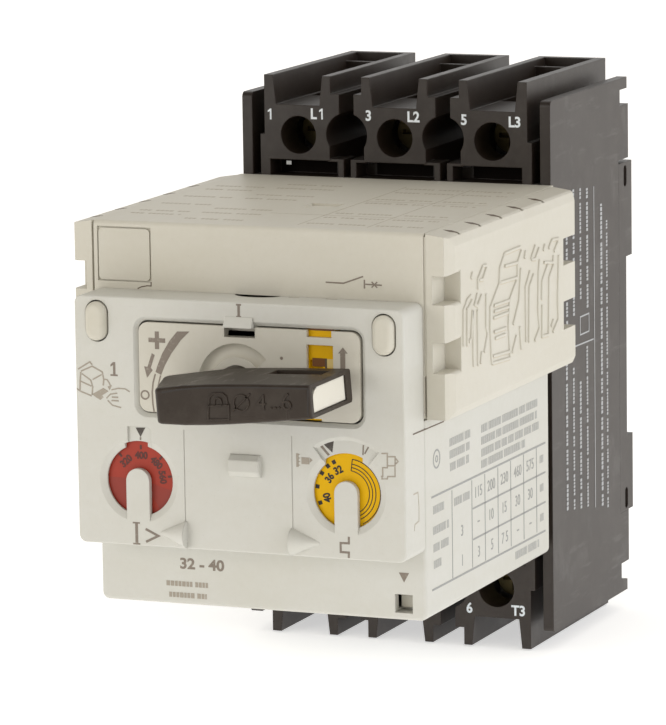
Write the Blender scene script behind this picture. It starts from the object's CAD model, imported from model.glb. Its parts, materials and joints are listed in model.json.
# A three-pole motor breaker. Its front faces -Y, +X is its right-hand side, +Z is up.
# The CAD pieces get procedural materials; thin solids on their faces carry the print,
# the fine relief and the shading of small recesses. Drawing sizes are in millimetres.
import json
import math
import random
import bpy
import bmesh
from mathutils import Vector, Matrix


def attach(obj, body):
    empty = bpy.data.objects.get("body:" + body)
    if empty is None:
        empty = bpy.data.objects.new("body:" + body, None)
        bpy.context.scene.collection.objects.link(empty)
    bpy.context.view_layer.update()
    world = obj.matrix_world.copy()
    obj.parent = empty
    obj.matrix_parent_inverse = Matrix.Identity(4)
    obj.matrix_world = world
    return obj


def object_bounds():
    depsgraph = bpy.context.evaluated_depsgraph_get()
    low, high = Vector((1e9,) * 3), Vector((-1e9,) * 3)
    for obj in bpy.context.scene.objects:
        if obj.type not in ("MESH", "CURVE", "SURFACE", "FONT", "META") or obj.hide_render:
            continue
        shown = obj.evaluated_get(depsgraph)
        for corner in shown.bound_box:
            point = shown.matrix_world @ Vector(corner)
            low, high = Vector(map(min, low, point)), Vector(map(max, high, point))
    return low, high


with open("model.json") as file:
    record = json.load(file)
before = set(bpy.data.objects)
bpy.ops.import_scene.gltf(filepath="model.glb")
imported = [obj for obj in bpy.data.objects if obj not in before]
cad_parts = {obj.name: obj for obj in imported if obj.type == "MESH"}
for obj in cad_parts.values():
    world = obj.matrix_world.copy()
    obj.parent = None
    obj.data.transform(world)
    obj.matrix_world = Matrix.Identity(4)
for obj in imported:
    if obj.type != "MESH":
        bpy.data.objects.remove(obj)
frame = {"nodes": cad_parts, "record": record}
cad_low, cad_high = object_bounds()
scene = bpy.context.scene
MM = 0.001

# Faces that carry thin layers: the way they look, and their level on that axis.
# A drawing point is (x, z) on a front face, (y, z) on a side and (x, y) on a top.
FRONT, RIGHT, LEFT, TOP = "front", "right", "left", "top"
PLATE = (FRONT, -139.7)
TOWER = (FRONT, -139.5)
POCKET = (FRONT, -139.1)
SLIDE = (FRONT, -138.4)
DISC = (FRONT, -138.25)
COVER_LEVEL = -129.15
COVER = (FRONT, COVER_LEVEL)
RIB_GROOVE = (FRONT, -128.35)
TERMINALS = (FRONT, -52.8)
TERMINAL_GAP = (FRONT, -46.8)
HANDLE = (FRONT, -164.5)
FLANK_X = 35.4
MODULE_SIDE = (RIGHT, 35.85)
LATCH_SIDE = (RIGHT, 35.8)
RIB_SIDE = (RIGHT, 41.3)
PLATE_TOP = (TOP, 28.2)
COVER_TOP = (TOP, 42.1)


# ------------------------------------------------------------ materials
def srgb(*channels):
    """Linear RGBA from 0-255 sRGB channels."""
    def linear(channel):
        c = channel / 255.0
        return c / 12.92 if c <= 0.04045 else ((c + 0.055) / 1.055) ** 2.4
    return tuple(linear(c) for c in channels) + (1.0,)


def scaled(color, factor, tint=(1.0, 1.0, 1.0)):
    return tuple(min(1.0, color[i] * factor * tint[i]) for i in range(3)) + (1.0,)


def feed(tree, socket, value):
    """Link an output socket, or set a plain value."""
    if hasattr(value, "is_output"):
        tree.links.new(value, socket)
    else:
        socket.default_value = value


class Shader:
    """A material around one Principled BSDF, in object coordinates (metres)."""

    def __init__(self, name):
        self.material = bpy.data.materials.new(name)
        self.material.use_nodes = True
        self.tree = self.material.node_tree
        self.tree.nodes.clear()
        output = self.node("ShaderNodeOutputMaterial")
        self.bsdf = self.node("ShaderNodeBsdfPrincipled")
        feed(self.tree, output.inputs["Surface"], self.bsdf.outputs["BSDF"])
        self.coordinates = self.node("ShaderNodeTexCoord").outputs["Object"]

    def node(self, kind, **properties):
        node = self.tree.nodes.new(kind)
        for key, value in properties.items():
            setattr(node, key, value)
        return node

    def fill(self, node, values):
        for key, value in values.items():
            feed(self.tree, node.inputs[key], value)

    def surface(self, **values):
        """Set BSDF inputs; an underscore stands for a space."""
        self.fill(self.bsdf, {key.replace("_", " "): v for key, v in values.items()})

    def noise(self, scale, detail=3.0, rough=0.5, stretch=None):
        vector = self.coordinates
        if stretch:
            mapping = self.node("ShaderNodeMapping")
            self.fill(mapping, {"Scale": stretch, "Vector": vector})
            vector = mapping.outputs["Vector"]
        noise = self.node("ShaderNodeTexNoise")
        self.fill(noise, {"Scale": scale, "Detail": detail, "Roughness": rough,
                          "Vector": vector})
        return noise.outputs["Fac"]

    def remap(self, value, low, high, to_high=1.0):
        node = self.node("ShaderNodeMapRange")
        node.clamp = True
        self.fill(node, {"Value": value, "From Min": low, "From Max": high,
                         "To Min": 0.0, "To Max": to_high})
        return node.outputs["Result"]

    def patches(self, low, high, **noise):
        """Noise spread to 0-1 between two of its levels."""
        return self.remap(self.noise(**noise), low, high)

    def maths(self, operation, a, b=0.0):
        node = self.node("ShaderNodeMath", operation=operation)
        self.fill(node, {0: a, 1: b})
        return node.outputs[0]

    def add(self, a, b):
        return self.maths("ADD", a, b)

    def minus(self, a, b):
        return self.maths("SUBTRACT", a, b)

    def times(self, a, b):
        return self.maths("MULTIPLY", a, b)

    def mix(self, amount, a, b):
        node = self.node("ShaderNodeMix", data_type="RGBA", blend_type="MIX")
        self.fill(node, {0: amount, 6: a, 7: b})
        return node.outputs[2]

    def bump(self, height, distance, normal=None):
        node = self.node("ShaderNodeBump")
        self.fill(node, {"Strength": 1.0, "Distance": distance, "Height": height})
        if normal is not None:
            self.fill(node, {"Normal": normal})
        return node.outputs["Normal"]

    def bevel(self, radius):
        node = self.node("ShaderNodeBevel", samples=4)
        self.fill(node, {"Radius": radius})
        return node.outputs["Normal"]


def edge_wear(m, soft_normal):
    """How far the softened normal leaves the true one, broken up by noise."""
    true_normal = m.node("ShaderNodeNewGeometry").outputs["Normal"]
    dot = m.node("ShaderNodeVectorMath", operation="DOT_PRODUCT")
    m.fill(dot, {0: soft_normal, 1: true_normal})
    edges = m.remap(dot.outputs["Value"], low=0.995, high=0.80)
    return m.times(edges, m.patches(0.30, 0.62, scale=240.0, detail=4.0, rough=0.6))


def moulded(name, color, rough=0.46, variation=0.05, grain=0.010, grain_size=0.22,
            edge=0.22, scuff=0.35, dust=0.0, specular=0.45, speck=0.0):
    """Moulded plastic: grain, faint flow clouds, handling marks, rubbed soft edges.

    grain is the pit depth; grain_size and the edge radius are in millimetres.
    """
    m = Shader(name)
    cloud = m.noise(scale=26.0, detail=4.0, rough=0.55)
    fine = m.noise(scale=620.0, detail=4.0, rough=0.6)
    flow = m.noise(scale=60.0, detail=2.0, stretch=(1.0, 0.25, 3.2))
    tone = m.add(m.times(cloud, 0.5), m.add(m.times(fine, 0.25), m.times(flow, 0.25)))
    surface = m.mix(m.remap(tone, low=0.34, high=0.66),
                    scaled(color, 1.0 - variation, tint=(1.0, 0.992, 0.965)),
                    scaled(color, 1.0 + variation * 0.55, tint=(1.0, 1.003, 1.012)))
    if speck:
        spots = m.patches(0.66, 0.74, scale=2100.0, detail=2.0)
        surface = m.mix(m.times(spots, speck), surface, scaled(color, 0.55))
    # rub marks, stretched two ways
    rub_z = m.patches(0.56, 0.70, scale=90.0, detail=5.0, rough=0.65,
                      stretch=(6.0, 1.0, 0.7))
    rub_x = m.patches(0.58, 0.72, scale=70.0, detail=5.0, rough=0.65,
                      stretch=(0.6, 1.0, 7.0))
    rubs = m.maths("MAXIMUM", rub_z, rub_x)
    if dust:
        veil = m.patches(0.45, 0.75, scale=150.0, detail=6.0, rough=0.7)
        surface = m.mix(m.times(veil, dust), surface, srgb(168, 162, 150))
    soft = m.bevel(edge * MM)
    worn = edge_wear(m, soft)
    # dark plastics need a stronger lift for the wear to show
    lift = 1.28 if sum(color[:3]) > 0.5 else 2.1
    surface = m.mix(m.times(worn, 0.30), surface, scaled(color, lift))
    gloss = m.add(rough - 0.05, m.times(cloud, 0.10))
    gloss = m.minus(gloss, m.times(rubs, scuff * 0.22))
    gloss = m.minus(gloss, m.times(worn, 0.10))
    pits = m.noise(scale=1000.0 / grain_size, rough=0.6)
    swell = m.noise(scale=38.0, detail=2.0)
    height = m.add(m.times(pits, grain), m.times(swell, 0.06))
    m.surface(Base_Color=surface, Roughness=gloss, Specular_IOR_Level=specular,
              Normal=m.bump(height, distance=MM, normal=soft))
    return m.material


def ink(name, color, rough=0.55, wear=0.25, under=None, specular=0.5):
    """Printed ink, slightly uneven; `under` shows through its worn holes."""
    m = Shader(name)
    thin = m.patches(0.35, 0.7, scale=220.0)
    surface = m.mix(m.times(thin, 0.22), color, scaled(color, 1.25))
    if under:
        holes = m.patches(0.56, 0.72, scale=1500.0, detail=4.0, rough=0.65)
        surface = m.mix(m.times(holes, wear), surface, under)
    m.surface(Base_Color=surface, Specular_IOR_Level=specular,
              Roughness=m.add(rough - 0.06, m.times(thin, 0.12)),
              Normal=m.bump(m.noise(scale=2600.0, detail=2.0), distance=0.004 * MM))
    return m.material


def metal(name, color, rough=0.32, brush=(1.0, 1.0, 14.0), tarnish=None, amount=0.3,
          edge=0.15):
    """Brushed metal with cloudy tarnish; edge is the soft radius in millimetres."""
    m = Shader(name)
    lines = m.noise(scale=900.0, detail=4.0, rough=0.6, stretch=brush)
    cloud = m.noise(scale=110.0, detail=4.0, rough=0.6)
    surface = m.mix(m.remap(lines, low=0.3, high=0.7), scaled(color, 0.88),
                    scaled(color, 1.08))
    if tarnish:
        stains = m.remap(cloud, low=0.42, high=0.72)
        surface = m.mix(m.times(stains, amount), surface, tarnish)
    gloss = m.add(rough - 0.08, m.add(m.times(cloud, 0.16), m.times(lines, 0.10)))
    soft = m.bevel(edge * MM) if edge else None
    m.surface(Base_Color=surface, Metallic=1.0, Roughness=gloss,
              Normal=m.bump(lines, distance=0.006 * MM, normal=soft))
    return m.material


def wound(name, color, pitch=0.55):
    """Lacquered wire laid turn by turn along Z, at a pitch in millimetres."""
    m = Shader(name)
    axes = m.node("ShaderNodeSeparateXYZ")
    m.fill(axes, {0: m.coordinates})
    wave = m.maths("SINE", m.times(axes.outputs["Z"], 2 * math.pi / (pitch * MM)))
    turns = m.remap(wave, low=-1.0, high=0.6)
    surface = m.mix(turns, scaled(color, 0.35), color)
    stains = m.remap(m.noise(scale=300.0), low=0.4, high=0.7, to_high=0.35)
    surface = m.mix(stains, surface, scaled(color, 0.6))
    m.surface(Base_Color=surface, Metallic=0.75, Roughness=0.34, Coat_Weight=0.5,
              Normal=m.bump(turns, distance=0.12 * MM))
    return m.material


LIGHT = srgb(205, 201, 189)
SIDE_GREY = srgb(208, 203, 190)
MOULDED = {
    "light_moulded": dict(color=LIGHT, rough=0.47, variation=0.045, speck=0.10),
    "light_module": dict(color=srgb(204, 203, 196), rough=0.47, variation=0.045,
                         speck=0.10),
    "light_key": dict(color=srgb(204, 200, 187), rough=0.40, grain=0.006, edge=0.3,
                      scuff=0.6),
    "light_tower": dict(color=srgb(202, 198, 186), rough=0.44, grain=0.008, edge=0.12,
                        scuff=0.5),
    "black_moulded": dict(color=srgb(42, 32, 25), rough=0.42, variation=0.14,
                          grain=0.014, grain_size=0.30, edge=0.30, scuff=0.4,
                          dust=0.04, specular=0.5),
    "black_handle": dict(color=srgb(48, 38, 29), rough=0.42, variation=0.10,
                         grain=0.012, grain_size=0.26, edge=0.35, scuff=0.8,
                         dust=0.05, specular=0.30),
    "inner_plastic": dict(color=srgb(34, 29, 25), rough=0.55, variation=0.12,
                          grain=0.016, edge=0.2, dust=0.12),
    "clip_plastic": dict(color=srgb(58, 55, 52), rough=0.42, variation=0.10, edge=0.2,
                         scuff=0.8),
    "white_bar": dict(color=srgb(226, 222, 210), rough=0.36, variation=0.04,
                      grain=0.006, edge=0.25, scuff=0.5),
    "red": dict(color=srgb(162, 54, 37), rough=0.42, variation=0.10, grain=0.006,
                edge=0.12, scuff=0.5, specular=0.34),
    "yellow": dict(color=srgb(226, 176, 0), rough=0.44, variation=0.07, grain=0.006,
                   edge=0.12, scuff=0.5, specular=0.16),
}
METALS = {
    "steel": dict(color=(0.60, 0.58, 0.54, 1), rough=0.34, tarnish=srgb(120, 104, 70),
                  amount=0.35),
    "spring_steel": dict(color=(0.46, 0.45, 0.44, 1), rough=0.28,
                         brush=(3.0, 3.0, 3.0), edge=0.0),
    "screw": dict(color=(0.25, 0.20, 0.10, 1), rough=0.40, tarnish=srgb(56, 48, 24),
                  amount=0.8),
    "copper": dict(color=(0.80, 0.42, 0.26, 1), rough=0.30, tarnish=srgb(96, 58, 40),
                   amount=0.6),
    "bimetal": dict(color=(0.56, 0.53, 0.49, 1), rough=0.30, brush=(14.0, 1.0, 1.0),
                    tarnish=srgb(120, 88, 50), amount=0.5),
}
INKS = {
    "ink_grey": dict(color=srgb(128, 117, 106), under=LIGHT),
    "ink_dark": dict(color=srgb(70, 63, 57), under=LIGHT, wear=0.15),
    "ink_side": dict(color=srgb(150, 151, 149), under=SIDE_GREY, wear=0.35),
    "ink_flank": dict(color=srgb(176, 178, 180), under=srgb(60, 54, 49), wear=0.45),
    "ink_faint": dict(color=srgb(174, 165, 150), under=LIGHT, wear=0.6),
    "ink_mark": dict(color=srgb(158, 149, 136), under=LIGHT, wear=0.3),
    "ink_fine": dict(color=srgb(168, 168, 164), under=SIDE_GREY, wear=0.5),
    "deep_shade": dict(color=srgb(20, 15, 12), rough=0.9, specular=0.08),
    "dip_shade.001": dict(color=srgb(158, 144, 122), under=LIGHT, wear=0.3),
    "seam_shade": dict(color=srgb(92, 76, 58)),
    "relief_shade": dict(color=srgb(196, 186, 166), under=LIGHT, wear=0.3),
    "slide_shade": dict(color=srgb(112, 66, 12)),
    "slide_pale": dict(color=srgb(214, 190, 120)),
    "ink_white": dict(color=srgb(226, 232, 238), under=srgb(66, 60, 54), wear=0.30),
    "ink_black": dict(color=srgb(38, 30, 24)),
    "ink_on_red": dict(color=srgb(88, 42, 35)),
    "ink_shade_red": dict(color=srgb(142, 48, 34)),
}

part_finishes = {name: moulded(name, **look) for name, look in MOULDED.items()}
part_finishes.update({name: metal(name, **look) for name, look in METALS.items()})
part_finishes["winding"] = wound("winding", color=(0.55, 0.22, 0.10, 1))
finishes = dict(part_finishes)
finishes.update({name: ink(name, **look) for name, look in INKS.items()})


def dress_parts():
    """Give each CAD piece the finish of its recorded slot, or the one set here."""
    chosen = {row["node"]: row.get("material_slot")
              for row in frame["record"].get("subparts") or []}
    chosen.update(handle_tower="light_tower", label_insert="light_tower")
    for pole in ("l1", "l2", "l3", "t1", "t2", "t3"):
        chosen["terminal_screw_" + pole] = "screw"
    for name, part in frame["nodes"].items():
        finish = part_finishes.get(chosen.get(name), part_finishes["inner_plastic"])
        part.data.materials.clear()
        part.data.materials.append(finish)


dress_parts()


# ------------------------------------------------------------ drawing tools
def make_object(name, shape, material):
    mesh = bpy.data.meshes.new(name)
    shape.to_mesh(mesh)
    shape.free()
    mesh.materials.append(material)
    made = bpy.data.objects.new(name, mesh)
    scene.collection.objects.link(made)
    return made


def close_prism(shape, top, low):
    """Cap two matching rings of vertices and wall the space between them."""
    shape.faces.new(top)
    shape.faces.new(low[::-1])
    for i in range(len(top)):
        j = (i + 1) % len(top)
        shape.faces.new((top[i], low[i], low[j], top[j]))


# A mark is (line width, points), plus True where the line closes on itself.
# FILL in place of the width makes the points a solid outline.
FILL = None


def box(u0, v0, u1, v1):
    u0, u1 = min(u0, u1), max(u0, u1)
    v0, v1 = min(v0, v1), max(v0, v1)
    return [(u0, v0), (u1, v0), (u1, v1), (u0, v1)]


def circle(centre, radius, count):
    return [(centre[0] + radius * math.cos(2 * math.pi * i / count),
             centre[1] + radius * math.sin(2 * math.pi * i / count))
            for i in range(count)]


def ring(centre, outer, inner, count):
    """A closed line mark between two radii."""
    return outer - inner, circle(centre, (outer + inner) / 2, count), True


def polar(centre, radius, angle):
    return (centre[0] + radius * math.cos(math.radians(angle)),
            centre[1] + radius * math.sin(math.radians(angle)))


def arc(centre, radius, start, end, steps):
    return [polar(centre, radius, start + (end - start) * i / steps)
            for i in range(steps + 1)]


class Layer:
    """Thin closed solids standing on a face, from -sink to +rise about its level."""

    def __init__(self, name, face, finish, body="breaker", rise=0.05, sink=0.03):
        self.name, self.finish, self.body = name, finish, body
        self.side, self.level = face
        self.rise, self.sink = rise, sink
        self.shape = bmesh.new()

    def vertex(self, point, height):
        u, v = point
        if self.side == FRONT:
            place = (u, self.level - height, v)
        elif self.side == RIGHT:
            place = (self.level + height, u, v)
        elif self.side == LEFT:
            place = (self.level - height, u, v)
        else:
            place = (u, v, self.level + height)
        return self.shape.verts.new(Vector(place) * MM)

    def solid(self, points):
        top = [self.vertex(point, self.rise) for point in points]
        low = [self.vertex(point, -self.sink) for point in points]
        close_prism(self.shape, top, low)

    def edges(self, points, width, closed):
        """Left and right edges of a line, mitred at its corners."""
        path = [Vector(point) for point in points]
        last = len(path) - 1
        sides = []
        for i, here in enumerate(path):
            if closed:
                before, after = path[i - 1], path[(i + 1) % len(path)]
            else:
                before, after = path[max(0, i - 1)], path[min(last, i + 1)]
            # an open end has only one neighbouring segment
            arriving, leaving = [
                step.normalized() if step.length > 1e-9 else None
                for step in (here - before, after - here)]
            arriving = arriving or leaving
            leaving = leaving or arriving
            along = arriving + leaving
            along = along.normalized() if along.length > 1e-6 else arriving
            across = Vector((-along.y, along.x))
            # the lower limit keeps sharp corners from growing long spikes
            mitre = max(0.45, across.dot(Vector((-arriving.y, arriving.x))))
            offset = across * (width / 2 / mitre)
            sides.append((here + offset, here - offset))
        return sides

    def line(self, points, width, closed=False, rise=None, rounded=False):
        rise = self.rise if rise is None else rise
        rows = []
        for left, right in self.edges(points, width, closed):
            section = [(left, -self.sink), (left, rise), (right, rise),
                       (right, -self.sink)]
            if rounded:
                middle, half = (left + right) / 2, (left - right) / 2
                section[1:3] = [(left, rise * 0.35), (middle + half * 0.62, rise * 0.92),
                                (middle - half * 0.62, rise * 0.92), (right, rise * 0.35)]
            rows.append([self.vertex(point, height) for point, height in section])
        count, corners = len(rows), len(rows[0])
        for i in range(count if closed else count - 1):
            row, following = rows[i], rows[(i + 1) % count]
            for k in range(corners):
                m = (k + 1) % corners
                self.shape.faces.new((row[k], following[k], following[m], row[m]))
        if not closed:
            self.shape.faces.new(rows[0])
            self.shape.faces.new(rows[-1][::-1])

    def draw(self, marks):
        for width, points, *closed in marks:
            if width is FILL:
                self.solid(points)
            else:
                self.line(points, width, closed=bool(closed))

    def text(self, string, u, v, height, turn=0.0, squash=1.0, bold=0.0):
        """Lettering centred on (u, v); turn is in degrees, squash scales its width."""
        curve = bpy.data.curves.new("glyph", "FONT")
        curve.body = string
        curve.size = 1.0
        curve.resolution_u = 4
        curve.offset = bold
        curve.extrude = 0.5
        glyph = bpy.data.objects.new("glyph", curve)
        scene.collection.objects.link(glyph)
        bpy.context.view_layer.update()
        graph = bpy.context.evaluated_depsgraph_get()
        mesh = bpy.data.meshes.new_from_object(glyph.evaluated_get(graph))
        bpy.data.objects.remove(glyph)
        bpy.data.curves.remove(curve)
        xs = [vert.co.x for vert in mesh.vertices]
        ys = [vert.co.y for vert in mesh.vertices]
        scale = height / (max(ys) - min(ys))
        middle_x, middle_y = (max(xs) + min(xs)) / 2, (max(ys) + min(ys)) / 2
        cos, sin = math.cos(math.radians(turn)), math.sin(math.radians(turn))
        placed = []
        for vert in mesh.vertices:
            x = (vert.co.x - middle_x) * scale * squash
            y = (vert.co.y - middle_y) * scale
            placed.append(self.vertex((u + x * cos - y * sin, v + x * sin + y * cos),
                                      self.rise if vert.co.z > 0 else -self.sink))
        for face in mesh.polygons:
            # guards against a font outline that gives the same face twice
            try:
                self.shape.faces.new([placed[i] for i in face.vertices])
            except ValueError:
                pass
        bpy.data.meshes.remove(mesh)

    def build(self):
        bmesh.ops.remove_doubles(self.shape, verts=self.shape.verts, dist=2e-7)
        bmesh.ops.dissolve_degenerate(self.shape, edges=self.shape.edges, dist=1e-7)
        bmesh.ops.recalc_face_normals(self.shape, faces=self.shape.faces)
        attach(make_object(self.name, self.shape, finishes[self.finish]), self.body)


def print_marks(name, face, finish, marks, **options):
    layer = Layer(name, face, finish, **options)
    layer.draw(marks)
    layer.build()


def bars(layer, start, end, middle, height, seed, gap, vertical=False):
    """A row of plain bars in word-like groups, standing in for small lettering."""
    draw = random.Random(seed)
    along = start
    left = draw.choice((3, 4, 6, 7))
    while along < end - 0.3:
        width = min(height * draw.choice((0.42, 0.50, 0.50, 0.62)), end - along)
        low, high = middle - height * 0.42, middle + height * 0.42
        if vertical:
            layer.solid(box(low, along, high, along + width))
        else:
            layer.solid(box(along, low, along + width, high))
        along += width + gap * 0.8
        left -= 1
        if left == 0:
            left = draw.choice((3, 4, 6, 7, 8))
            along += gap * 2.2


# ------------------------------------------------------------ tower panel
TOWER_MARKS = [
    # plus
    (FILL, [(-18.1, 21.5), (-17.2, 21.5), (-17.2, 20.15), (-15.85, 20.15),
            (-15.85, 19.25), (-17.2, 19.25), (-17.2, 17.9), (-18.1, 17.9),
            (-18.1, 19.25), (-19.5, 19.25), (-19.5, 20.15), (-18.1, 20.15)]),
    # arrowhead, ring and two curved lines below it
    (FILL, [(-18.85, 17.01), (-18.22, 16.65), (-19.13, 14.02), (-18.72, 13.53),
            (-19.98, 11.93), (-20.57, 14.25), (-19.85, 14.15)]),
    ring((-20.5, 8.4), 1.0, 0.68, 28),
    (0.3, [(-18.15, 12.81), (-18.68, 11.01), (-18.92, 9.03), (-18.82, 6.66),
           (-18.55, 4.9)]),
    (0.26, [(-17.0, 12.57), (-17.57, 10.4), (-17.75, 8.3), (-17.6, 6.2)]),
    # upward arrow and dot on the right
    (FILL, [(22.72, 20.2), (23.75, 18.98), (23.22, 18.98), (23.2, 15.7),
            (22.15, 15.65), (22.15, 18.95), (21.7, 18.93)]),
    (FILL, circle((9.48, 17.37), 0.33, 14)),
]
BAND_OUTER = [(-13.19, 21.7), (-14.93, 19.66), (-16.57, 17.02), (-17.69, 14.41),
              (-18.08, 13.21)]
BAND_INNER = [(-10.44, 21.83), (-12.38, 19.98), (-14.56, 17.12), (-15.99, 14.69),
              (-16.88, 12.68)]
print_marks("tower_print", TOWER, "ink_grey", TOWER_MARKS)
print_marks("tower_print_band", TOWER, "ink_grey", [(FILL, BAND_OUTER + BAND_INNER[::-1])])

# ------------------------------------------------------------ plate
PLATE_FIGURES = [
    # capital I
    (FILL, [(-0.1, 27.95), (0.98, 27.95), (0.98, 27.6), (0.72, 27.6), (0.72, 25.5),
            (0.98, 25.5), (0.98, 25.15), (-0.1, 25.15), (-0.1, 25.5), (0.18, 25.5),
            (0.18, 27.6), (-0.1, 27.6)]),
    # figure 1
    (FILL, [(-27.4, 14.8), (-26.9, 14.8), (-26.9, 12.3), (-26.4, 12.3),
            (-26.4, 11.95), (-28.0, 11.95), (-28.0, 12.3), (-27.4, 12.3),
            (-27.4, 14.2), (-27.95, 13.85), (-27.95, 14.3)]),
]
PLATE_PICTOGRAM = [
    (0.3, [(-35.19, 12.98), (-32.56, 14.59), (-32.04, 14.02)]),
    (0.3, [(-34.55, 12.61), (-32.05, 13.73), (-29.82, 12.65), (-29.53, 11.08),
           (-29.67, 9.89)]),
    (0.3, [(-34.6, 12.45), (-34.81, 10.62), (-34.86, 8.73)]),
    (0.28, [(-34.65, 10.5), (-32.3, 9.62)]),
    (0.28, [(-34.4, 12.1), (-32.44, 10.84), (-32.04, 9.57), (-32.19, 7.85)]),
    (0.28, [(-35.6, 8.98), (-34.76, 8.44), (-32.3, 7.62)]),
    (0.28, [(-32.0, 10.98), (-30.0, 12.1)]),
    (FILL, [(-32.2, 7.97), (-29.68, 9.39), (-28.52, 8.76), (-30.04, 7.79),
            (-29.62, 7.51), (-30.38, 6.88), (-31.2, 7.3)]),
    (0.26, [(-29.4, 11.2), (-28.78, 11.12), (-28.37, 10.55), (-28.1, 9.95)]),
    (FILL, [(-28.71, 9.74), (-27.73, 10.09), (-28.25, 8.97)]),
    (0.26, [(-27.86, 9.09), (-26.36, 9.46), (-24.86, 9.44), (-23.8, 8.9)]),
    (0.26, [(-29.0, 7.3), (-28.1, 8.19), (-26.59, 8.46)]),
    (0.26, [(-28.77, 6.9), (-27.72, 5.93), (-25.8, 5.54)]),
    (FILL, box(-27.8, 7.75, -26.4, 7.45)),
    (FILL, box(-27.9, 7.05, -26.3, 6.75)),
]
PLATE_MARKS = [
    # capital I and an open arrowhead below the red dial
    (FILL, [(-23.72, -17.85), (-22.15, -17.85), (-22.15, -18.17), (-22.6, -18.17),
            (-22.6, -22.2), (-22.15, -22.2), (-22.15, -22.5), (-23.72, -22.5),
            (-23.72, -22.2), (-23.2, -22.2), (-23.2, -18.17), (-23.72, -18.17)]),
    (0.5, [(-20.89, -19.16), (-18.1, -20.43), (-20.85, -21.81)]),
    # thermal element mark below the yellow dial
    (0.44, [(23.54, -18.0), (23.52, -19.33), (21.75, -19.36), (21.75, -21.2),
            (23.49, -21.22), (23.47, -22.3)]),
]


def dial_teeth():
    """Four small teeth down the right edge of the bar beside the yellow dial."""
    for k in range(4):
        z = -1.75 - 0.72 * k
        yield FILL, [(12.9, z), (13.35, z - 0.14), (12.9, z - 0.32)]


DIAL_PICTOGRAMS = [
    # left of the yellow dial: toothed bar, block and arrowhead
    (FILL, box(12.42, -1.69, 12.93, -4.45)),
    *dial_teeth(),
    (FILL, box(13.56, -2.41, 15.26, -3.79)),
    (FILL, [(15.35, -2.38), (15.95, -2.92), (15.35, -3.47)]),
    # right of the yellow dial: line drawing
    (0.27, [(30.76, -0.7), (32.0, -0.63), (32.0, -3.5), (30.99, -3.55),
            (30.97, -5.3), (30.6, -5.34)]),
    (0.27, [(32.15, -1.28), (33.67, -1.19), (33.65, -3.02), (32.15, -3.1)]),
    (0.27, [(33.62, -3.25), (33.62, -5.2), (32.05, -5.28), (31.97, -5.75),
            (30.82, -5.82), (30.82, -5.5)]),
    (0.27, [(33.8, -1.55), (34.3, -2.11), (33.8, -2.64)]),
]
# pointers on the sunken floors above the dials
POINTERS = [
    (FILL, [(-22.92, 1.5), (-20.8, 1.6), (-21.88, -0.35)]),
    (FILL, [(17.94, 0.51), (20.35, 1.2), (20.0, -1.2)]),
]
FINE_POINTERS = [
    (0.3, [(-21.9, -0.42), (-21.92, -1.0)]),
    (FILL, [(17.25, 0.0), (17.72, 0.28), (19.45, -1.7), (19.05, -1.95)]),
    (0.3, [(26.69, 0.65), (26.57, -1.35)]),
    (0.3, [(27.79, 0.37), (26.95, -1.07)]),
]
print_marks("plate_print", PLATE, "ink_grey", PLATE_FIGURES)
print_marks("plate_pictogram", PLATE, "ink_mark", PLATE_PICTOGRAM)
print_marks("plate_marks", PLATE, "ink_grey", PLATE_MARKS)
print_marks("dial_pictograms", PLATE, "ink_mark", DIAL_PICTOGRAMS)
print_marks("pointer_print", POCKET, "ink_dark", POINTERS)
print_marks("pointer_print_fine", POCKET, "ink_grey", FINE_POINTERS)

# ------------------------------------------------------------ cover front
random.seed(7)  # fixes the shared generator; each row of bars has a seed of its own
# start x, end x, z, seed
LOW_STRIP_ROWS = [(-21.25, -11.8, -32.4, 11), (-20.67, -12.3, -34.75, 12)]
# line width, rise (uneven, so crossing lines don't share a top), points
COVER_SYMBOL = [
    (0.3, 0.05, [(15.0, 31.45), (18.85, 31.4), (23.1, 32.95)]),
    (0.28, 0.06, [(23.35, 32.3), (23.35, 30.55)]),
    (0.28, 0.05, [(23.5, 31.4), (27.1, 31.35)]),
    (0.26, 0.062, [(24.9, 31.95), (26.1, 30.8)]),
    (0.26, 0.07, [(24.9, 30.8), (26.1, 31.95)]),
]


def cover_front_print():
    rows = Layer("low_strip_bars", COVER, "ink_mark")
    for start, end, z, seed in LOW_STRIP_ROWS:
        bars(rows, start, end, z, height=1.25, seed=seed, gap=0.22)
    rows.build()
    strip = Layer("low_strip_print", COVER, "ink_grey")
    strip.text("32 - 40", -13.2, -28.1, height=2.35, bold=0.03, squash=1.12)
    strip.solid([(30.0, -26.9), (32.2, -26.9), (31.1, -28.9)])
    strip.build()
    symbol = Layer("cover_symbol", COVER, "ink_grey")
    for width, rise, points in COVER_SYMBOL:
        symbol.line(points, width, rise=rise)
    symbol.build()


cover_front_print()

# ------------------------------------------------------------ terminals
# lettering, x, z
TERMINAL_NUMBERS = [
    ("1", -28.85, 55.35), ("L1", -17.8, 55.7), ("3", -6.0, 55.7),
    ("L2", 4.4, 55.75), ("5", 15.9, 55.5), ("L3", 27.4, 55.35),
    ("2", -29.25, -50.6), ("T1", -17.8, -50.6), ("4", -6.0, -50.6),
    ("T2", 4.4, -50.6), ("6", 16.1, -50.65), ("T3", 27.3, -50.6),
]
# a plain figure 1 about its centre
FIGURE_ONE = [(0.28, 1.18), (0.28, -1.18), (-0.08, -1.18), (-0.08, 0.62),
              (-0.55, 0.40), (-0.55, 0.74), (-0.02, 1.18)]


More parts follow.
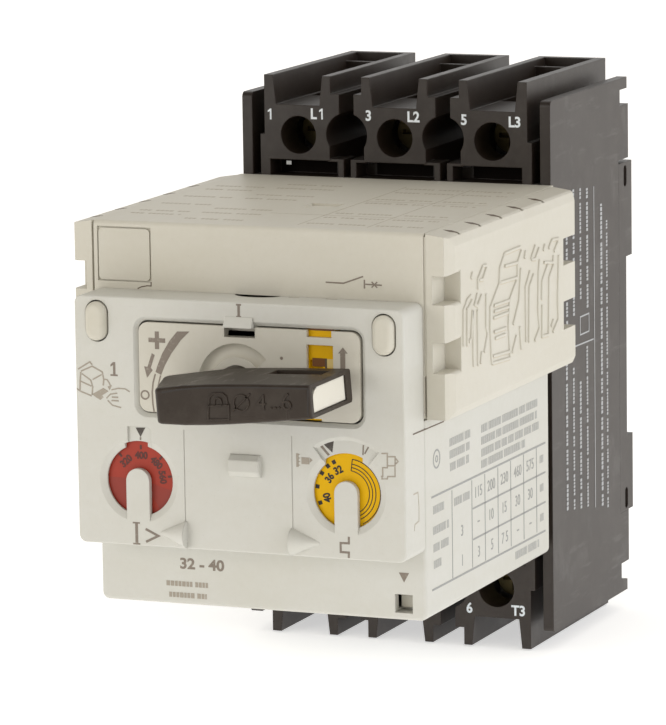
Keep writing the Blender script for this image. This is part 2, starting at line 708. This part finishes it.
def terminal_numbers():
    style = dict(height=2.35, bold=0.03, squash=0.94)
    layer = Layer("terminal_numbers", TERMINALS, "ink_white")
    for string, x, z in TERMINAL_NUMBERS:
        if not string.endswith("1"):
            layer.text(string, x, z, **style)
            continue
        if len(string) > 1:
            layer.text(string[0], x - 0.85, z, **style)
            x += 0.95
        layer.solid([(x + dx, z + dz) for dx, dz in FIGURE_ONE])
    layer.build()


terminal_numbers()
print_marks("terminal_patch", TERMINALS, "ink_flank", [(FILL, box(-25.2, 45.3, -24.05, 44.5))])

# ------------------------------------------------------------ black flanks
# y, lowest z, highest z, bar height
FLANK_ROWS = [
    (-43.0, 8.0, 40.0, 1.29), (-38.6, 12.0, 39.6, 1.29), (-34.2, 15.0, 39.2, 1.118),
    (-29.8, 12.5, 38.6, 1.29), (-43.4, -29.8, 3.0, 1.29), (-39.0, -30.4, 1.0, 1.118),
    (-34.6, -31.0, -2.0, 1.29), (-30.2, -31.4, 5.0, 1.118),
    (-20.6, -33.0, 34.0, 1.376), (-17.0, -34.0, 30.0, 1.032),
]
FLANK_LINES = [
    (0.3, [(-25.3, 38.4), (-25.3, -32.5)]),
    (0.3, [(-44.2, 5.3), (-26.0, 5.0)]),
    (0.3, [(-34.6, 11.1), (-28.9, 11.1), (-28.9, 7.2), (-34.6, 7.2)], True),
]
for side, level in ((RIGHT, FLANK_X), (LEFT, -FLANK_X)):
    flank = Layer("flank_print_" + side, (side, level), "ink_flank")
    for number, (y, low, high, height) in enumerate(FLANK_ROWS, start=1):
        bars(flank, low, high, y, height, seed=number * 3 + 1, gap=0.3, vertical=True)
    flank.draw(FLANK_LINES)
    flank.build()

# ------------------------------------------------------------ module side
TABLE_RULES = [
    (0.4, [(-125.7, -11.9), (-58.5, -12.3)]),
    (0.36, [(-102.3, -18.5), (-58.6, -18.65)]),
    (0.36, [(-102.3, -24.95), (-58.6, -25.1)]),
    (0.4, [(-125.8, -30.9), (-58.8, -31.3)]),
    *((0.32, [(y, -12.5), (y, -30.7)])
      for y in (-114.2, -102.8, -95.2, -87.5, -79.85, -72.0, -64.1)),
]
# start y, end y, z
TABLE_BARS = [
    (-115.2, -103.4, -2.5), (-115.2, -103.5, -5.0), (-115.1, -104.4, -7.6),
    (-97.0, -63.1, -2.8), (-97.0, -63.2, -5.3), (-97.0, -62.6, -7.8),
    (-97.1, -71.1, -10.2), (-124.8, -118.3, -14.7), (-125.0, -116.1, -18.9),
    (-124.8, -116.4, -22.5), (-124.7, -120.6, -25.9), (-113.0, -104.0, -15.2),
    (-77.3, -62.9, -33.2),
]
# y, z, lettering
TABLE_FIGURES = [
    (-98.8, -15.4, "115"), (-91.4, -15.4, "200"), (-83.6, -15.4, "230"),
    (-75.6, -15.4, "460"), (-68.0, -15.4, "575"), (-91.4, -21.6, "10"),
    (-83.6, -21.6, "15"), (-75.7, -21.6, "30"), (-68.0, -21.6, "30"),
    (-108.6, -21.8, "3"), (-108.6, -28.0, "1"), (-99.0, -28.0, "3"),
    (-91.2, -28.0, "5"), (-83.6, -28.0, "7 5"),
]
TABLE_DASHES = [(-99.0, -21.7), (-75.7, -28.0), (-68.0, -28.0)]
TABLE_ROW_Z = (-15.4, -21.6, -28.0)
SIDE_EMBLEM = (-122.6, -4.5)


def module_table():
    small = Layer("module_table_bars", MODULE_SIDE, "ink_fine")
    for k, (start, end, z) in enumerate(TABLE_BARS):
        bars(small, start, end, z, height=1.95, seed=40 + k, gap=0.26)
    for z in TABLE_ROW_Z:
        bars(small, -62.0, -59.9, z, height=1.9, seed=90, gap=0.3)
    small.build()
    table = Layer("module_table", MODULE_SIDE, "ink_side")
    table.draw(TABLE_RULES)
    for y, z, string in TABLE_FIGURES:
        table.text(string, y, z, height=2.3, squash=0.95)
    for y, z in TABLE_DASHES:
        table.solid(box(y - 0.6, z - 0.15, y + 0.6, z + 0.15))
    table.draw([ring(SIDE_EMBLEM, 2.0, 1.65, 32), ring(SIDE_EMBLEM, 0.75, 0.45, 20)])
    table.build()


module_table()

# ------------------------------------------------------------ side ribs
# raised lines on the right rib, (y, z) points
RIB_LINES = [
    [(-115.8, 32.7), (-116.7, 31.5)],
    [(-116.8, 28.1), (-119.0, 27.5), (-121.1, 25.7), (-121.3, 18.5)],
    [(-116.2, 27.1), (-118.1, 25.9), (-119.0, 25.6), (-119.2, 18.2)],
    [(-116.0, 25.1), (-117.0, 19.4), (-118.3, 18.9)],
    [(-107.8, 33.0), (-109.9, 33.1), (-112.8, 30.8), (-112.8, 28.8)],
    [(-107.8, 32.5), (-110.0, 30.4), (-112.2, 30.6)],
    [(-113.2, 28.0), (-114.7, 26.0), (-113.2, 25.4), (-110.7, 27.4)],
    [(-113.2, 24.7), (-113.2, 13.3)],
    [(-116.0, 24.9), (-115.7, 13.5)],
    [(-108.2, 27.2), (-108.4, 20.5), (-107.5, 19.0), (-109.5, 15.4)],
    [(-111.0, 15.8), (-111.7, 13.5)],
    [(-88.0, 34.0), (-97.2, 33.9), (-100.0, 31.4), (-100.5, 28.2), (-105.8, 24.1),
     (-106.0, 20.1), (-105.2, 12.3)],
    [(-87.3, 33.2), (-89.6, 31.0), (-89.7, 27.9)],
    [(-97.2, 31.3), (-89.8, 31.0)],
    [(-100.1, 28.3), (-89.9, 27.9)],
    [(-90.4, 27.3), (-94.6, 23.9), (-95.3, 18.9), (-94.5, 11.9)],
    [(-103.7, 24.1), (-94.9, 23.9)],
    [(-103.7, 22.9), (-95.2, 22.6)],
    [(-104.0, 21.6), (-95.6, 21.5)],
    [(-103.8, 18.7), (-96.9, 18.5)],
    [(-103.2, 17.3), (-97.3, 17.2)],
    [(-104.6, 13.8), (-95.1, 13.3)],
    [(-105.0, 12.4), (-94.7, 11.9)],
    [(-84.8, 32.8), (-85.5, 31.3)],
    [(-79.0, 33.1), (-81.6, 30.5)],
    [(-76.7, 32.2), (-79.0, 30.2), (-81.3, 30.5)],
    [(-82.3, 28.2), (-85.0, 25.2), (-84.9, 13.8)],
    [(-80.1, 27.2), (-82.7, 24.9), (-83.3, 13.4)],
    [(-76.4, 29.8), (-77.1, 27.4), (-77.6, 19.2), (-76.7, 15.4), (-79.7, 13.2)],
    [(-87.7, 29.6), (-88.9, 23.1), (-92.5, 18.5)],
    [(-90.6, 16.0), (-93.2, 12.8)],
    [(-88.7, 17.5), (-87.8, 12.7)],
    [(-73.1, 32.5), (-74.1, 31.3)],
    [(-64.8, 32.6), (-68.8, 32.8), (-70.8, 31.3)],
    [(-65.2, 31.9), (-67.5, 30.2)],
    [(-67.9, 29.5), (-68.2, 28.0), (-73.8, 28.8)],
    [(-71.5, 28.0), (-74.9, 25.1), (-75.3, 21.1)],
    [(-67.9, 27.5), (-70.6, 25.2), (-71.2, 13.5)],
    [(-64.6, 29.1), (-65.4, 20.8), (-65.2, 15.5), (-68.6, 13.3)],
    [(-68.2, 15.9), (-69.5, 14.6)],
    [(-75.0, 20.1), (-75.2, 13.4), (-71.3, 13.2)],
]
SLIT_Y = (-121.3, -109.4, -97.2, -84.8, -72.0)
# slit outline: distance from the middle plane, y from the slit's centre
SLIT_OUTLINE = [(37.3, -0.2), (38.7, 0.95), (40.2, 0.35), (40.2, -0.3), (39.0, -0.95)]


def rib_relief():
    relief = Layer("rib_relief", RIB_SIDE, "light_moulded", rise=0.34, sink=0.05)
    for points in RIB_LINES:
        relief.line(points, width=0.66, rounded=True)
    relief.build()
    shade = [(0.62, [(y + 0.30, z - 0.22) for y, z in points]) for points in RIB_LINES]
    print_marks("rib_relief_shade", RIB_SIDE, "relief_shade", shade, rise=0.025)


def rib_slits(side, sign):
    """Dark patches on the rib's top, which slopes down towards its outer side."""
    shape = bmesh.new()
    for centre in SLIT_Y:
        top, low = [], []
        for x, dy in SLIT_OUTLINE:
            y = centre + dy
            z = 42.05 - (x - 36.3) * 0.15
            top.append(shape.verts.new((sign * x * MM, y * MM, (z + 0.03) * MM)))
            low.append(shape.verts.new((sign * x * MM, y * MM, (z - 0.10) * MM)))
        close_prism(shape, top, low)
    bmesh.ops.recalc_face_normals(shape, faces=shape.faces)
    slits = make_object("rib_slit_shade_" + side, shape, finishes["seam_shade"])
    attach(slits, "breaker")


rib_relief()
rib_slits(RIGHT, 1.0)
rib_slits(LEFT, -1.0)
print_marks("rib_groove_floor", RIB_GROOVE, "light_moulded",
            [(FILL, box(36.02, 13.3, 36.43, 41.4))], rise=0.55)

# ------------------------------------------------------------ finger dip
DIP_X = 0.3
DIP_STEPS = 16
DIP_ARC_Y, DIP_ARC_RADIUS = -123.9, 7.0   # front arc of the crescent
DIP_HALF_WIDTH = 4.45                     # half the width of that arc
DIP_CLEARANCE = 0.05
DIP_ELLIPSE_Y = -129.3                    # centre of the half ellipse
DIP_ELLIPSE = (4.9, 2.9)                  # its half axes in x and y
DIP_BACK_HALF = 4.4


def finger_dip():
    """Crescent on the plate's top edge and a strip on the cover front behind it."""
    half_x, half_y = DIP_ELLIPSE
    ellipse, front_arc = [], []
    for i in range(DIP_STEPS + 1):
        angle = math.pi * (1 + i / DIP_STEPS)
        ellipse.append((DIP_X + half_x * math.cos(angle),
                        DIP_ELLIPSE_Y + half_y * math.sin(angle)))
        x = DIP_HALF_WIDTH - 2 * DIP_HALF_WIDTH * i / DIP_STEPS
        reach = math.sqrt(DIP_ARC_RADIUS ** 2 - x * x)
        front_arc.append((DIP_X + x, DIP_ARC_Y - reach - DIP_CLEARANCE))
    front_arc.reverse()
    crescent = [(FILL, [ellipse[i], ellipse[i + 1], front_arc[i + 1], front_arc[i]])
                for i in range(DIP_STEPS)]
    print_marks("dip_shade", PLATE_TOP, "dip_shade.001", crescent, rise=0.025)
    back = box(DIP_X - DIP_BACK_HALF, 27.5, DIP_X + DIP_BACK_HALF, 28.15)
    print_marks("dip_back", COVER, "seam_shade", [(FILL, back)], rise=0.03)


# the dip is made of two coincident pairs of layers
for _ in range(2):
    finger_dip()

# ------------------------------------------------------------ gaps and seams
# start x, end x of the deep gaps under the upper terminals
GAPS = [(-28.9, -15.8), (-6.5, 6.5), (15.8, 28.9)]
print_marks("terminal_gap_shade", TERMINAL_GAP, "deep_shade",
            [(FILL, box(start, 42.2, end, 45.5)) for start, end in GAPS], rise=0.04)

# windows in the yellow tongue: layer name, finish, rise, boxes
SLIDE_WINDOWS = [
    ("slide_shade", "slide_shade", 0.03,
     [(15.7, 15.9, 18.4, 17.6), (15.3, 14.2, 18.0, 14.9), (15.1, 23.15, 20.5, 23.6)]),
    ("slide_shade_deep", "seam_shade", 0.04, [(18.4, 15.6, 18.85, 17.6)]),
    ("slide_pale", "slide_pale", 0.03, [(18.85, 15.7, 20.5, 17.5)]),
]
for name, finish, rise, boxes in SLIDE_WINDOWS:
    print_marks(name, SLIDE, finish, [(FILL, box(*corners)) for corners in boxes],
                body="release_slide", rise=rise)

LATCH_OUTLINE = [(-135.38, -9.48), (-132.96, -9.48), (-132.49, -12.39),
                 (-132.58, -15.35), (-134.77, -15.69), (-135.21, -16.94)]
COVER_SEAM = [(-23.35, 29.8), (-23.38, 29.0), (-24.3, 29.0), (-25.5, 28.75),
              (-26.4, 28.35)]
print_marks("side_seams", MODULE_SIDE, "seam_shade",
            [(0.26, [(-135.3, 2.66), (-118.4, 2.42)])], rise=0.03, sink=0.12)
print_marks("latch_outline", LATCH_SIDE, "ink_faint", [(0.28, LATCH_OUTLINE)], rise=0.04)
print_marks("cover_seam", COVER, "seam_shade", [(0.22, COVER_SEAM)], rise=0.03)

# ------------------------------------------------------------ cover top
TOP_ROW_Y = (-121.5, -117.0, -112.5, -106.0, -101.5, -90.0, -84.0, -78.5, -73.0, -67.0)
TOP_COLUMNS = [(-33, -22), (-19, -6), (8, 21), (23, 33)]  # start x, end x
TOP_RULES = [
    (0.2, [(7.0, -124.0), (7.0, -64.0)]),
    (0.2, [(22.0, -124.0), (22.0, -64.0)]),
    (0.2, [(-5.0, -109.5), (34.0, -109.5)]),
    (0.2, [(7.0, -87.0), (34.0, -87.0)]),
]


def cover_top_print():
    layer = Layer("cover_top_print", COVER_TOP, "ink_faint", rise=0.03)
    for k, y in enumerate(TOP_ROW_Y):
        for start, end in TOP_COLUMNS:
            if (k + start) % 3:  # leaves every third place empty
                bars(layer, start, end, y, height=1.3, seed=200 + k * 7 + start, gap=0.4)
    layer.draw(TOP_RULES)
    layer.build()


cover_top_print()

# ------------------------------------------------------------ handle front
HANDLE_EDGES = [
    (0.3, [(-5.6, 13.75), (-1.9, 14.5), (2.8, 15.15), (13.5, 15.75), (25.5, 16.1)]),
    (0.3, [(25.45, 16.0), (25.4, 10.5)]),
]
HANDLE_RELIEF = [
    # padlock: body, outer and inner line of the shackle
    (0.36, [(4.3, 8.85), (8.75, 9.2), (8.75, 12.0), (4.4, 11.65)], True),
    (0.34, [(4.5, 11.7), (4.65, 13.4), (5.4, 14.15), (7.4, 14.3), (8.2, 13.7),
            (8.55, 12.0)]),
    (0.3, [(5.7, 11.8), (5.8, 13.1), (6.5, 13.4), (7.1, 13.1), (7.35, 11.9)]),
    # diameter sign
    ring((11.4, 12.6), 1.75, 1.42, 30),
    (0.34, [(9.6, 10.9), (13.3, 14.5)]),
]


def handle_relief():
    layer = Layer("handle_relief", HANDLE, "black_handle", "handle", rise=0.22, sink=0.05)
    layer.draw(HANDLE_RELIEF)
    layer.text("4", 15.6, 12.95, height=3.1, turn=2.0)
    for x in (17.75, 18.6, 19.4):
        layer.solid(circle((x, 11.9 + (x - 17.7) * 0.1), 0.24, 12))
    layer.text("6", 21.0, 13.35, height=3.4, turn=3.0)
    layer.build()


print_marks("handle_edge_line", HANDLE, "ink_black", HANDLE_EDGES, body="handle",
            rise=0.03, sink=0.05)
handle_relief()

# ------------------------------------------------------------ dials
DIAL_Z = -9.3
RED_CENTRE, YELLOW_CENTRE = (-22.2, DIAL_Z), (23.05, DIAL_Z)
# ticks: radius, angle in degrees; numbers: lettering, radius, angle
RED_TICKS = [(6.75, 90.5), (6.75, 133.7), (6.5, 47.2), (6.4, 8.7)]
RED_NUMBERS = [("400", 5.0, 90.1), ("320", 5.0, 132.5), ("480", 4.95, 47.5),
               ("560", 4.75, 8.8)]
YELLOW_TICKS = [(6.75, 117.3), (6.75, 130.7), (6.75, 147.6), (6.75, 172.7),
                (6.6, 201.6)]
YELLOW_NUMBERS = [("32", 4.95, 116.1), ("36", 4.95, 146.0), ("40", 4.85, 196.0)]
YELLOW_ARCS = (6.95, 5.95, 5.25, 4.57)


def sector(centre, inner, outer, start, end, steps=14):
    return arc(centre, outer, start, end, steps) + arc(centre, inner, end, start, steps)


def dial_scale(layer, centre, ticks, numbers, inward, outward, width, **style):
    """Radial ticks, and numbers turned to read outwards."""
    for radius, angle in ticks:
        layer.line([polar(centre, radius - inward, angle),
                    polar(centre, radius + outward, angle)], width)
    for string, radius, angle in numbers:
        layer.text(string, *polar(centre, radius, angle), turn=angle - 90, **style)


def red_dial():
    shades = [(FILL, sector(RED_CENTRE, 2.4, 7.1, start, end))
              for start, end in ((178, 236), (304, 344))]
    print_marks("red_dial_shade", DISC, "ink_shade_red", shades, body="red_dial",
                rise=0.02)
    marks = Layer("red_dial_marks", DISC, "ink_on_red", "red_dial")
    dial_scale(marks, RED_CENTRE, RED_TICKS, RED_NUMBERS, inward=0.55, outward=0.35,
               width=0.45, height=1.6, bold=0.045, squash=0.92)
    marks.build()


def yellow_dial():
    marks = Layer("yellow_dial_marks", DISC, "ink_black", "yellow_dial")
    dial_scale(marks, YELLOW_CENTRE, YELLOW_TICKS, YELLOW_NUMBERS, inward=0.42,
               outward=0.42, width=0.8, height=1.65, bold=0.04, squash=0.9)
    for radius in YELLOW_ARCS:
        marks.line(arc(YELLOW_CENTRE, radius - 0.1, 82, -64, 30), width=0.17)
    marks.line([polar(YELLOW_CENTRE, radius, 82.6) for radius in (4.5, 6.9)], width=0.17)
    marks.build()


red_dial()
yellow_dial()

# ------------------------------------------------------------ floor (metres)
FLOOR_SIZE, FLOOR_CELLS = 3.2, 24
FLOOR_Y = 0.5
FLOOR_DROP = 0.0004  # keeps the floor clear of the breaker's lowest face


def floor_material():
    m = Shader("floor_paper")
    tone = m.noise(scale=6.0)
    m.surface(Base_Color=m.mix(tone, (0.86, 0.86, 0.855, 1), (0.88, 0.88, 0.88, 1)),
              Emission_Color=(1, 1, 1, 1), Emission_Strength=0.55,
              Roughness=0.9, Specular_IOR_Level=0.1)
    return m.material


def make_floor():
    shape = bmesh.new()
    cells = range(FLOOR_CELLS)
    steps = [FLOOR_SIZE * (i / FLOOR_CELLS - 0.5) for i in range(FLOOR_CELLS + 1)]
    grid = [[shape.verts.new((x, y + FLOOR_Y, cad_low[2] - FLOOR_DROP)) for y in steps]
            for x in steps]
    for i in cells:
        for j in cells:
            shape.faces.new((grid[i][j], grid[i + 1][j], grid[i + 1][j + 1],
                             grid[i][j + 1]))
    make_object("floor", shape, floor_material())


make_floor()

# ------------------------------------------------------------ lights (metres, watts)
LIGHT_TARGET = (0.0, -0.10, 0.0)


def soft_light(name, place, size, power, color):
    """A square area light aimed at the breaker."""
    light = bpy.data.lights.new(name, "AREA")
    light.shape = "RECTANGLE"
    light.size = light.size_y = size
    light.energy = power
    light.color = color
    lamp = bpy.data.objects.new(name, light)
    lamp.location = place
    aim = Vector(LIGHT_TARGET) - Vector(place)
    lamp.rotation_euler = aim.to_track_quat("-Z", "Y").to_euler()
    scene.collection.objects.link(lamp)


soft_light("key", place=(-0.55, -1.10, 0.26), size=0.45, power=2.2,
           color=(1.0, 0.985, 0.95))
soft_light("side", place=(1.10, -0.10, 0.34), size=0.60, power=3.35,
           color=(0.86, 0.905, 1.0))


def make_world():
    """White to the camera, warm and even for soft light, graded in reflections."""
    world = bpy.data.worlds.new("studio")
    scene.world = world
    world.use_nodes = True
    tree = world.node_tree
    tree.nodes.clear()
    output = tree.nodes.new("ShaderNodeOutputWorld")
    rays = tree.nodes.new("ShaderNodeLightPath").outputs
    direction = tree.nodes.new("ShaderNodeTexCoord").outputs["Generated"]
    axes = tree.nodes.new("ShaderNodeSeparateXYZ")
    feed(tree, axes.inputs[0], direction)
    # reflections meet a bright backdrop behind (+Y) and a dim room in front
    backdrop = tree.nodes.new("ShaderNodeMapRange")
    for key, value in {"From Min": -0.25, "From Max": 0.55, "To Min": 0.15,
                       "To Max": 0.95, "Value": axes.outputs["Y"]}.items():
        feed(tree, backdrop.inputs[key], value)

    def sky(color, strength):
        node = tree.nodes.new("ShaderNodeBackground")
        feed(tree, node.inputs["Color"], color)
        feed(tree, node.inputs["Strength"], strength)
        return node.outputs[0]

    def choose(test, otherwise, chosen):
        node = tree.nodes.new("ShaderNodeMixShader")
        for i, socket in enumerate((test, otherwise, chosen)):
            feed(tree, node.inputs[i], socket)
        return node.outputs[0]

    soft = sky(color=(1.0, 0.955, 0.875, 1), strength=0.70)
    glossy = sky(color=(1.0, 0.99, 0.97, 1), strength=backdrop.outputs["Result"])
    white = sky(color=(1, 1, 1, 1), strength=1.05)
    lit = choose(rays["Is Glossy Ray"], soft, glossy)
    feed(tree, output.inputs["Surface"], choose(rays["Is Camera Ray"], lit, white))


make_world()
scene.view_settings.view_transform = "Standard"
scene.view_settings.look = "None"

# ------------------------------------------------------------ camera
CAMERA_PLACE = (0.40438, -1.07455, 0.18441)  # metres
CAMERA_AZIMUTH = 22.3165    # degrees towards +X from straight ahead
CAMERA_ELEVATION = 9.4012   # degrees it looks down
CAMERA_ROLL = -0.8154       # degrees


def make_camera():
    azimuth, elevation, roll = (
        math.radians(a) for a in (CAMERA_AZIMUTH, CAMERA_ELEVATION, CAMERA_ROLL))
    forward = Vector((-math.sin(azimuth) * math.cos(elevation),
                      math.cos(azimuth) * math.cos(elevation), -math.sin(elevation)))
    level_right = Vector((math.cos(azimuth), math.sin(azimuth), 0.0))
    level_up = level_right.cross(forward)
    right = level_right * math.cos(roll) + level_up * math.sin(roll)
    up = -level_right * math.sin(roll) + level_up * math.cos(roll)
    data = bpy.data.cameras.new("camera")
    data.lens = 256.24
    data.sensor_width = 36.0
    data.clip_start = 0.05
    data.clip_end = 20.0
    camera = bpy.data.objects.new("camera", data)
    turn = Matrix((right, up, -forward)).transposed().to_4x4()
    camera.matrix_world = Matrix.Translation(CAMERA_PLACE) @ turn
    scene.collection.objects.link(camera)
    scene.camera = camera


make_camera()
